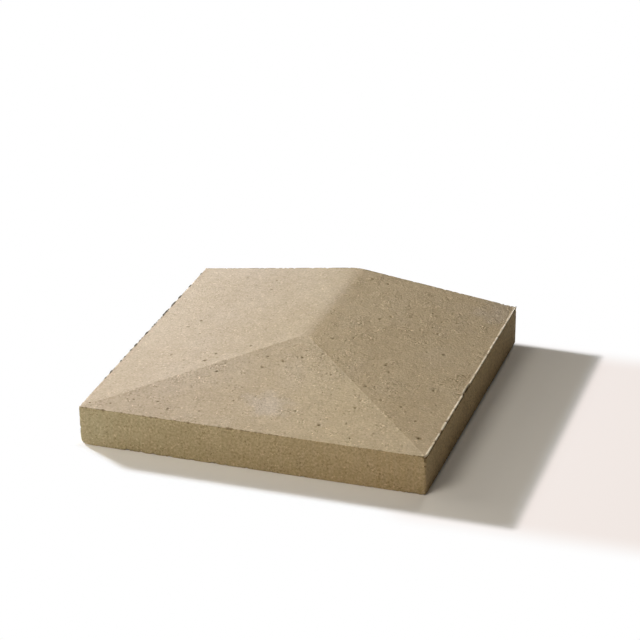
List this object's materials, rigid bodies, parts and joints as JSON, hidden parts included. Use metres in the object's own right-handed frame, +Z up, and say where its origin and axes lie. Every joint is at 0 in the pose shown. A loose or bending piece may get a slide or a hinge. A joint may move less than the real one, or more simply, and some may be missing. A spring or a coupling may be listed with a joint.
{
  "type": "gabled wall coping end cap",
  "caption": "Square concrete coping end cap for a wall: two slopes meet at a soft ridge that ends in a hipped slope, over upright edges, with a drip groove in the underside.",
  "frame": {"origin": "on the bed, under the middle of the square plan", "axes": "+Z up as laid; +Y along the wall, out of the butt joint towards the next coping stone, so the hipped end faces -Y; X across the wall"},
  "size_m": [0.3, 0.3, 0.0545],
  "materials": {
    "buff_concrete": "matte"
  },
  "bodies": {
    "root": {"coping_end_cap": "buff_concrete"}
  },
  "joints": []
}
